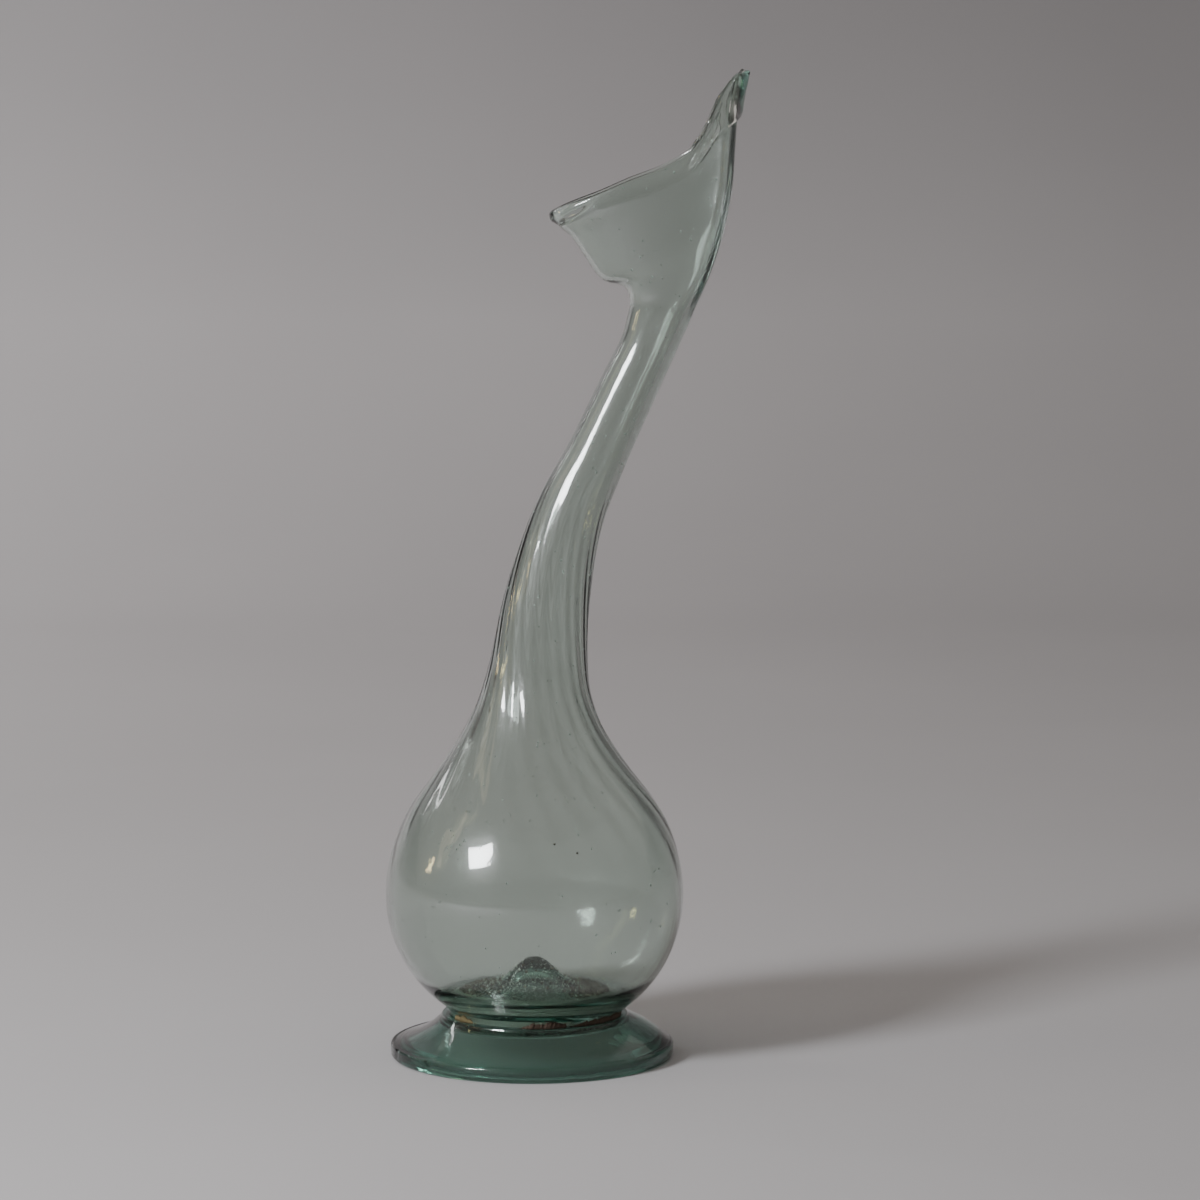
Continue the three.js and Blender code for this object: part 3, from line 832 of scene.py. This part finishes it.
def rib_tree(material):
    """Moves each point along its normal by depth times strength times a cosine round the neck."""
    tree, given, output = new_tree("twisted_ribs", {
        "Ribs": ("NodeSocketInt", RIB_COUNT), "Depth": ("NodeSocketFloat", RIB_DEPTH)})
    turn = calculate(tree, "MULTIPLY", named_number(tree, "rib_angle"), given["Ribs"])
    wave = calculate(tree, "MULTIPLY", calculate(tree, "COSINE", turn), named_number(tree, "rib_strength"))
    lift = calculate(tree, "MULTIPLY", wave, given["Depth"])
    normal = add_node(tree, "GeometryNodeInputNormal").outputs[0]
    offset = add_node(tree, "ShaderNodeVectorMath", {0: normal}, operation="SCALE")
    tree.links.new(lift, offset.inputs["Scale"])
    moved = add_node(tree, "GeometryNodeSetPosition",
                     {"Geometry": given["Geometry"], "Offset": offset.outputs[0]})
    end_tree(tree, moved.outputs[0], material, output)
    return tree


def apply_tree(name, mesh, tree, values):
    """Runs a geometry tree on a mesh and returns the result as a plain object at the origin."""
    source = add_object(name + "_source", mesh)
    modifier = source.modifiers.new(name, "NODES")
    modifier.node_group = tree
    sockets = {item.name: item.identifier for item in tree.interface.items_tree if item.in_out == "INPUT"}
    for label, value in values.items():
        modifier[sockets[label]] = value
    graph = bpy.context.evaluated_depsgraph_get()
    made = bpy.data.meshes.new_from_object(source.evaluated_get(graph))
    bpy.data.objects.remove(source)
    made.name = name
    return add_object(name, made)


ribs = rib_tree(thin_glass)
bottle = apply_tree("bottle_glass", bottle_mesh, ribs, {"Ribs": RIB_COUNT, "Depth": RIB_DEPTH})
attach(bottle, "root")
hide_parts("bottle")
print("ribbed bottle:", len(bottle.data.polygons), "faces")

# %% [markdown]
# ## Drop at the tip
# The lip was drawn up to its point with a bit of hot glass, which stayed there as a thick lens on the
# outside. Seen along its width it is the greenest place of the mouth. It could be a swelling of the skin,
# but the bottle's glass is too clear to show it. So it is a piece of its own in the foot's denser glass:
# a pillow whose underside follows the skin, and whose edges run out to nothing.

# %% Drop of thick glass
DROP_GAP = 0.05 * MM
DROP_EDGE = 0.02 * MM
DROP_SHARE = 0.9
DROP_END_STEPS = 6


def tip_drop():
    """Rings round the pillow, row by row up the tip, then a rounded end."""
    thickness, points, outward = (np.roll(grid, COLUMNS // 2, axis=1) for grid in (pad, skin, normals))
    rows, columns = (np.flatnonzero((thickness > DROP_EDGE).any(axis=axis)) for axis in (1, 0))
    first, last = columns[0] - 1, columns[-1] + 2
    under = points + outward * DROP_GAP
    over = under + outward * thickness[:, :, None] * DROP_SHARE
    rings = [np.vstack([over[row, first:last], under[row, first + 1:last - 1][::-1]]) for row in rows]
    end, centre = rings[-1], rings[-1].mean(axis=0)
    rise = (rings[-1] - rings[-2]).mean(axis=0)
    rise *= RIM_RISE / np.linalg.norm(rise)
    for turn in np.linspace(0, math.pi / 2, DROP_END_STEPS + 1)[1:]:
        rings.append(centre + (end - centre) * math.cos(turn) + rise * math.sin(turn))
    start = rings[0] * 0 + rings[0].mean(axis=0)
    return loft_mesh("tip_drop", [start] + rings)


drop = add_object("tip_drop", tip_drop(), thick_glass)
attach(drop, "root")
print("tip drop:", len(drop.data.polygons), "faces")

# %% [markdown]
# ## Foot
# The foot is a second gather of glass, spread with a tool while the vessel turned. A turned profile is
# the natural way to make it. Its rim is thick and dark, and use has knocked small chips out of it, so
# after the turning a few points of the rim are pushed in.

# %% Foot profile
FLARE_STEPS = 40
RIM_STEPS = 12
RIM_BAND = (0.3, 0.76)
COLLAR_STEPS = 4
HOLLOW_CORNER = 0.3 * MM
FOOT_COLUMNS = 240


def foot_profile():
    """Radius and height, from the axis under the hollow, round the rim and back to the axis on top."""
    hollow_radius = FOOT_RADIUS - FOOT_RIM_WIDTH
    rest_radius = FOOT_RADIUS - FOOT_RIM_WIDTH / 2
    flare_top = np.array([COLLAR_RADIUS, COLLAR_HEIGHT - COLLAR_ROUNDING])
    flare_end = np.array([FOOT_RADIUS - FLARE_END_INSET, FOOT_RIM_HEIGHT])
    flare = bezier([flare_top, flare_top + FLARE_TOP_HANDLE, flare_end + FLARE_END_HANDLE, flare_end],
                   FLARE_STEPS)
    lower, upper = ((FOOT_RADIUS, share * FOOT_RIM_HEIGHT) for share in RIM_BAND)
    rim = np.vstack([
        bezier([(rest_radius + FOOT_REST_WIDTH / 2, 0), (FOOT_RADIUS, 0), lower], RIM_STEPS),
        bezier([upper, (FOOT_RADIUS, FOOT_RIM_HEIGHT), flare_end], RIM_STEPS),
    ])
    radii = base_radii(JOINT_RADIUS)
    joint = np.stack([radii, underside_height(radii) - JOINT_GAP], axis=1)
    under = np.vstack([joint, flare[flare[:, 0] < hollow_radius - HOLLOW_CORNER]]) - [0, FOOT_WALL]
    inner_edge = bezier([under[-1], (hollow_radius, under[-1, 1]), (hollow_radius, HOLLOW_EDGE_HEIGHT),
                         (rest_radius - FOOT_REST_WIDTH / 2, 0)], RIM_STEPS)[1:]
    collar = bezier([flare_top, (COLLAR_RADIUS, COLLAR_HEIGHT),
                     (COLLAR_RADIUS - COLLAR_ROUNDING, COLLAR_HEIGHT)], COLLAR_STEPS)[1:]
    return np.vstack([under, inner_edge, rim, flare[::-1][1:], collar, joint[::-1]])


# %% Foot mesh with chips
CHIP_RANDOM = np.random.default_rng(7)
CHIP_COUNT = 16
CHIP_DEPTH = 0.55 * MM
CHIP_SIZE = (0.8 * MM, 2.2 * MM)
CHIP_HEIGHTS = [0.2, 0.9]


def chipped(points):
    """Pushes small bites into the outer rim, most of them along its upper and lower edges."""
    for _ in range(CHIP_COUNT):
        turn = CHIP_RANDOM.uniform(0, 2 * math.pi)
        height = CHIP_RANDOM.choice(CHIP_HEIGHTS) * FOOT_RIM_HEIGHT
        size = CHIP_RANDOM.uniform(*CHIP_SIZE)
        centre = np.array([AXIS_X + FOOT_OFFSET + FOOT_RADIUS * math.cos(turn),
                           FOOT_RADIUS * math.sin(turn), height])
        distance = np.linalg.norm(points - centre, axis=-1) / size
        bite = CHIP_DEPTH * (1 - smooth_step(0, 1, distance))
        outward = points - np.array([AXIS_X + FOOT_OFFSET, 0, 0])
        outward[..., 2] = 0
        length = np.maximum(np.linalg.norm(outward, axis=-1, keepdims=True), MM)
        points = points - outward / length * bite[..., None]
    return points


def foot_sections():
    """The turned profile, swelled a little toward +X and spread a little off the axis."""
    turns = np.arange(FOOT_COLUMNS) * 2 * math.pi / FOOT_COLUMNS
    profile = foot_profile()
    radius, height = profile[:, :1], profile[:, 1:]
    share = np.clip((radius - COLLAR_RADIUS) / (FOOT_RADIUS - COLLAR_RADIUS), 0, 1)
    swell = FOOT_SWELL * np.sin(math.pi * share) * np.cos(turns) * smooth_step(0, FOOT_RIM_HEIGHT, height)
    x = AXIS_X + radius * np.cos(turns) + FOOT_OFFSET * smooth_step(0, 1, share)
    y = radius * np.sin(turns)
    return chipped(np.stack([x, y, height + swell], axis=2))


foot_rings = foot_sections()
foot_mesh = loft_mesh("foot_glass", foot_rings)
is_fused = np.zeros(len(foot_rings))
is_fused[1 - BASE_ROWS:] = 1
store_by_ring(foot_mesh, "fused", is_fused)
foot = add_object("foot_glass", foot_mesh, thick_glass)
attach(foot, "root")
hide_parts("foot")
print("foot:", len(foot.data.polygons), "faces")

# %% [markdown]
# ## Small marks
# Bubbles, grains, dust and flakes are the same job: many small things spread over a surface. They
# could be modelled one by one, but a Geometry Nodes tree spreads them by a rule. The script makes a thin
# sheet where they belong and stores two things at its points: how many of them lie there, and which way
# they lie. The tree scatters points, puts a small ball of 20 faces on each, and stretches it to shape.

# %% Scatter tree
CENTIMETRE = 10 * MM


def scatter_tree(material):
    """Balls of random size on a sheet, turned along its stored direction and stretched to one shape."""
    tree, given, output = new_tree("scattered_" + material.name, {
        "Smallest": ("NodeSocketFloat", 0.3 * MM), "Largest": ("NodeSocketFloat", 0.6 * MM),
        "Shape": ("NodeSocketVector", (1, 1, 1)), "Seed": ("NodeSocketInt", 1)})
    spread = add_node(tree, "GeometryNodeDistributePointsOnFaces", {
        "Mesh": given["Geometry"], "Density": named_number(tree, "density"), "Seed": given["Seed"]})
    lie = add_node(tree, "GeometryNodeInputNamedAttribute", {"Name": "lie"}, data_type="FLOAT_VECTOR")
    turn = add_node(tree, "FunctionNodeAlignRotationToVector", {"Vector": lie.outputs[0]}, axis="Z")
    size = add_node(tree, "FunctionNodeRandomValue", {
        2: given["Smallest"], 3: given["Largest"], "Seed": given["Seed"]}, data_type="FLOAT")
    shape = add_node(tree, "ShaderNodeVectorMath", {
        0: given["Shape"], "Scale": size.outputs[1]}, operation="SCALE")
    ball = add_node(tree, "GeometryNodeMeshIcoSphere", {"Radius": 0.5, "Subdivisions": 1})
    placed = add_node(tree, "GeometryNodeInstanceOnPoints", {
        "Points": spread.outputs["Points"], "Instance": ball.outputs["Mesh"],
        "Rotation": turn.outputs[0], "Scale": shape.outputs[0]})
    end_tree(tree, placed.outputs[0], material, output)
    return tree


def sheet_mesh(name, rings, density, lie):
    """An open sheet through rings, with a density in marks per square centimetre at each point."""
    grid = np.asarray(rings)
    rows, columns = grid.shape[:2]
    faces = [(r * columns + c, r * columns + (c + 1) % columns, (r + 1) * columns + (c + 1) % columns,
              (r + 1) * columns + c) for r in range(rows - 1) for c in range(columns)]
    mesh = bpy.data.meshes.new(name)
    mesh.from_pydata(grid.reshape(-1, 3).tolist(), [], faces)
    store_float(mesh, "density", density / CENTIMETRE ** 2)
    mesh.attributes.new("lie", "FLOAT_VECTOR", "POINT").data.foreach_set("vector", lie.ravel())
    return mesh


def scatter(name, sheet, material, smallest, largest, shape, seed):
    """Scatters marks on a sheet and hands the piece to the frame."""
    marks = apply_tree(name, sheet, scatter_tree(material), {
        "Smallest": smallest, "Largest": largest, "Shape": shape, "Seed": seed})
    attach(marks, "root")
    print(name, "has", len(marks.data.polygons), "faces")


def patch(points, place, radius):
    """A soft round patch on both sides of the vessel, with its place from the axis and radius in mm."""
    middle = np.array([AXIS_X, 0, 0]) + np.array(place) * MM
    apart = np.stack([points[..., 0], -np.abs(points[..., 1]), points[..., 2]], axis=-1) - middle
    return np.exp(-(np.linalg.norm(apart, axis=-1) / (radius * MM)) ** 2)


# %% [markdown]
# ### Bubbles
# Old glass was melted at a low heat, so air stayed in it as small seeds. Drawing out the neck stretched
# them along it, and they crowd inside the bend of the neck and beside the tip. They lie in the middle
# of the wall. Their pale, slightly cloudy colour is a painted glint: it makes them bright, as real seeds
# look when they catch the light.

# %% Seeds in the wall
SEEDS_IN_BULB = 0.7
SEEDS_IN_NECK = 1.6
SEEDS_IN_PATCH = 45
NECK_SEEDS_FROM = (0.3, 0.6)
SEED_ROWS = slice(2, -4)
SEED_PATCHES = [
    ((8, -4, 226), 5), ((13, -5, 236), 5), ((18, -5, 246), 5),
    ((59, -4, 331), 5), ((54, -9, 321), 6), ((50, -12, 312), 5), ((-31, -40, 83), 6),
]

middle_skin = skin - normals * wall[:, :, None] / 2
seed_density = mix(SEEDS_IN_BULB, SEEDS_IN_NECK, smooth_step(*NECK_SEEDS_FROM, body_share))
seed_density = seed_density + sum(SEEDS_IN_PATCH * patch(middle_skin, *spot) for spot in SEED_PATCHES)
climb = np.gradient(middle_skin, axis=0)

seed_glass_painted_glint, seed_output = new_material("air_bubble_painted_glint")
# The pale base colour is a painted glint on the seeds.
bubble = add_node(seed_glass_painted_glint.node_tree, "ShaderNodeBsdfPrincipled", {
    "Base Color": (0.85, 0.95, 0.9, 1), "Roughness": 0.1, "IOR": 1.3, "Transmission Weight": 0.55})
seed_glass_painted_glint.node_tree.links.new(bubble.outputs[0], seed_output.inputs["Surface"])
seed_sheet = sheet_mesh("seed_sheet", middle_skin[SEED_ROWS], seed_density[SEED_ROWS], climb[SEED_ROWS])
scatter("bubbles", seed_sheet, seed_glass_painted_glint,
        smallest=0.25 * MM, largest=0.7 * MM, shape=(1, 1, 1.7), seed=3)

# %% [markdown]
# ### Grains and flakes
# Perfume water dried out in the bulb and left dark grains round the kick, thickest at the two sides, and
# a pale dusting on it. Earth crept into the joint above the foot and dried there as thin flakes, yellow
# at the left and dark reddish brown at the right. A painted pattern would look flat under the glass, so
# all of them are scattered by the same tree, on a sheet just above the floor and on one in the joint.

# %% Dirt materials
DIRT_TURN = 0.35
DIRT_SCALE = 420.0


def dirt_material(name, colour_low, colour_high, x_low=None, x_high=None):
    """Rough dirt of two colours, mixed by noise and, when two places are given, also from left to right."""
    material, output = new_material(name)
    tree = material.node_tree
    place = add_node(tree, "ShaderNodeTexCoord").outputs["Object"]
    factor = noise(tree, place, DIRT_SCALE, detail=3.0)
    if x_low is not None:
        across = add_node(tree, "ShaderNodeSeparateXYZ", {0: place}).outputs["X"]
        turn = faded(tree, across, (x_low, x_high, -DIRT_TURN, DIRT_TURN))
        factor = calculate(tree, "ADD", factor, turn)
    shader = add_node(tree, "ShaderNodeBsdfPrincipled", {
        "Base Color": ramp(tree, factor, 0.35, 0.65, colour_low, colour_high), "Roughness": 0.85})
    tree.links.new(shader.outputs[0], output.inputs["Surface"])
    return material


dark_grain = dirt_material("dark_residue", (0.05, 0.045, 0.035, 1), (0.16, 0.14, 0.1, 1))
pale_grain = dirt_material("pale_residue", (0.42, 0.5, 0.44, 1), (0.62, 0.68, 0.6, 1))
joint_dirt = dirt_material("joint_dirt", (0.13, 0.1, 0.045, 1), (0.06, 0.036, 0.023, 1),
                           AXIS_X - 24 * MM, AXIS_X + 4 * MM)
print("dirt materials:", dark_grain.name, pale_grain.name, joint_dirt.name)

# %% Grains on the floor
GRAIN_LIFT = 0.2 * MM
GRAINS_EVERYWHERE = 3
GRAIN_PATCH_RADIUS = 7
DUST_DENSITY = 110
DUST_EDGE = (2 * MM, 11 * MM)
FLOOR_MIDDLE = 3 * MM
FLOOR_SHEET_ROWS = 24
GRAIN_PATCHES = [((-25, 0, 22), 130), ((-22, -11, 22), 110), ((24, -2, 22), 190), ((19, -13, 22), 170)]

floor_radii = np.linspace(FLOOR_MIDDLE, FLOOR_RADIUS, FLOOR_SHEET_ROWS)
floor_rings = np.array([ring(0, kick_height(radius) + GRAIN_LIFT, 0, radius) for radius in floor_radii])
upright = np.zeros_like(floor_rings) + np.array([0, 0, 1.0])
grain_density = GRAINS_EVERYWHERE + sum(
    dense * patch(floor_rings, place, GRAIN_PATCH_RADIUS) for place, dense in GRAIN_PATCHES)
scatter("dark_grains", sheet_mesh("grain_sheet", floor_rings, grain_density, upright), dark_grain,
        smallest=0.5 * MM, largest=1.5 * MM, shape=(1, 1, 0.6), seed=5)
dust_density = DUST_DENSITY * smooth_step(*DUST_EDGE, floor_radii)[:, None] + np.zeros((1, COLUMNS))
scatter("pale_dust", sheet_mesh("dust_sheet", floor_rings, dust_density, upright), pale_grain,
        smallest=0.25 * MM, largest=0.65 * MM, shape=(1, 1, 0.5), seed=6)

# %% Flakes in the joint
JOINT_DIRT_INNER = 24.3 * MM
JOINT_DIRT_OUTER = 29.3 * MM
YELLOW_ARC = (200, 206, 226, 232)
BROWN_ARC = (258, 266, 352, 358)
FLAKES_EVERYWHERE = 12
FLAKES_IN_ARC = 90
BROWN_SHARE = 1.3
JOINT_SHEET_ROWS = 12
SLOPE_STEP = 0.01 * MM


def arc_share(start, full, fading, end):
    """1 between two angles round the axis, in degrees, with soft ends."""
    turn = np.degrees(angles)
    return smooth_step(start, full, turn) * (1 - smooth_step(fading, end, turn))


joint_radii = np.linspace(JOINT_DIRT_INNER, JOINT_DIRT_OUTER, JOINT_SHEET_ROWS)
joint_rings = np.array([
    ring(0, underside_height(radius) - JOINT_GAP / 2, 0, radius) for radius in joint_radii])
slopes = (underside_height(joint_radii + SLOPE_STEP) - underside_height(joint_radii - SLOPE_STEP))
slopes /= 2 * SLOPE_STEP
lie = np.stack([-np.outer(slopes, np.cos(angles)), -np.outer(slopes, np.sin(angles)),
                np.ones((len(slopes), COLUMNS))], axis=2)
in_arcs = arc_share(*YELLOW_ARC) + BROWN_SHARE * arc_share(*BROWN_ARC)
flake_density = FLAKES_EVERYWHERE + FLAKES_IN_ARC * in_arcs + np.zeros((len(joint_radii), 1))
scatter("joint_flakes", sheet_mesh("flake_sheet", joint_rings, flake_density, lie), joint_dirt,
        smallest=0.6 * MM, largest=1.9 * MM, shape=(1, 1, 0.1), seed=8)

# %% [markdown]
# ### Crust and specks
# Where the waist meets the foot there is a groove, and the earth that filled it dried to a crust in three
# stretches. Each is lofted like the vessel: a four-sided ring that travels round the groove, ragged along
# its edge and tapered at its ends. Two dark specks of unmelted stuff sit in the bulb's wall.

# %% Crust in the groove
CRUST_STEPS = 150
CRUST_RANDOM = np.random.default_rng(11)
CRUST_ARCS = [(205, 226), (262, 292), (296, 352)]
CRUST_OUT = 1.7 * MM
CRUST_UP = 1.15
CRUST_GAP = 0.06 * MM
CRUST_RAGGED = (0.2, 1.5)
CRUST_SMOOTHING = 7
CRUST_TAPER = 0.4
CRUST_SWELL = (-0.2, 0.25)


def crust_arc(first, last):
    """A strip of dried earth between two angles in degrees, with a ragged edge and tapered ends."""
    turns = np.radians(np.linspace(first, last, CRUST_STEPS))
    outward = np.stack([np.cos(turns), np.sin(turns), np.zeros(CRUST_STEPS)], axis=1)
    root = np.array([AXIS_X, 0, COLLAR_HEIGHT]) + outward * (JOINT_RADIUS + CRUST_GAP) + [0, 0, CRUST_GAP]
    waist = np.array([AXIS_X + WAIST_LEAN, 0, WAIST_HEIGHT]) + outward * (WAIST_RADIUS + CRUST_GAP)
    rough = CRUST_RANDOM.uniform(*CRUST_RAGGED, CRUST_STEPS + CRUST_SMOOTHING - 1)
    ragged = np.convolve(rough, np.ones(CRUST_SMOOTHING) / CRUST_SMOOTHING, "valid")
    amount = (ragged * np.sin(np.pi * np.linspace(0, 1, CRUST_STEPS)) ** CRUST_TAPER)[:, None]
    foot_edge = root + outward * CRUST_OUT * amount
    high_edge = root + (waist - root) * CRUST_UP * amount
    swell = CRUST_RANDOM.uniform(*CRUST_SWELL, (CRUST_STEPS, 1)) * MM
    middle = (foot_edge + high_edge) / 2 + outward * swell
    sections = np.stack([root, foot_edge, middle, high_edge], axis=1)
    sections[0], sections[-1] = root[0], root[-1]
    return loft_mesh("crust", sections)


def plain_mesh(name, source):
    """Turns an editing mesh into a plain one and frees it."""
    mesh = bpy.data.meshes.new(name)
    source.to_mesh(mesh)
    source.free()
    return mesh


crust_mesh = bmesh.new()
for arc in CRUST_ARCS:
    crust_mesh.from_mesh(crust_arc(*arc))
bmesh.ops.recalc_face_normals(crust_mesh, faces=crust_mesh.faces)
crust = add_object("joint_crust", plain_mesh("joint_crust", crust_mesh), joint_dirt)
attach(crust, "root")
print("crust has", len(crust.data.polygons), "faces")

# %% Two dark specks in the bulb
SPECK_PLACES = [(7.4, -45, 81.6), (15.1, -44.5, 78.4)]
SPECK_SIZE = 0.45 * MM

speck_mesh = bmesh.new()
for place in SPECK_PLACES:
    apart = np.linalg.norm(middle_skin - np.array([AXIS_X, 0, 0]) - np.array(place) * MM, axis=2)
    row, column = np.unravel_index(np.argmin(apart), apart.shape)
    bmesh.ops.create_icosphere(speck_mesh, subdivisions=1, radius=SPECK_SIZE,
                               matrix=Matrix.Translation(middle_skin[row, column].tolist()))
specks = add_object("dark_specks", plain_mesh("dark_specks", speck_mesh), dark_grain)
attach(specks, "root")
print("specks:", len(SPECK_PLACES))

# %% [markdown]
# ## Check and finish
# The visual model is meant to fill the same box as the solids, so both boxes are measured and the growth
# between them is printed.

# %% Compare the two boxes
new_low, new_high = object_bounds()
growth = [(a - b) / MM for a, b in zip([*cad_low, *new_high], [*new_low, *cad_high])]
print("growth in mm:", [round(value, 2) for value in growth])
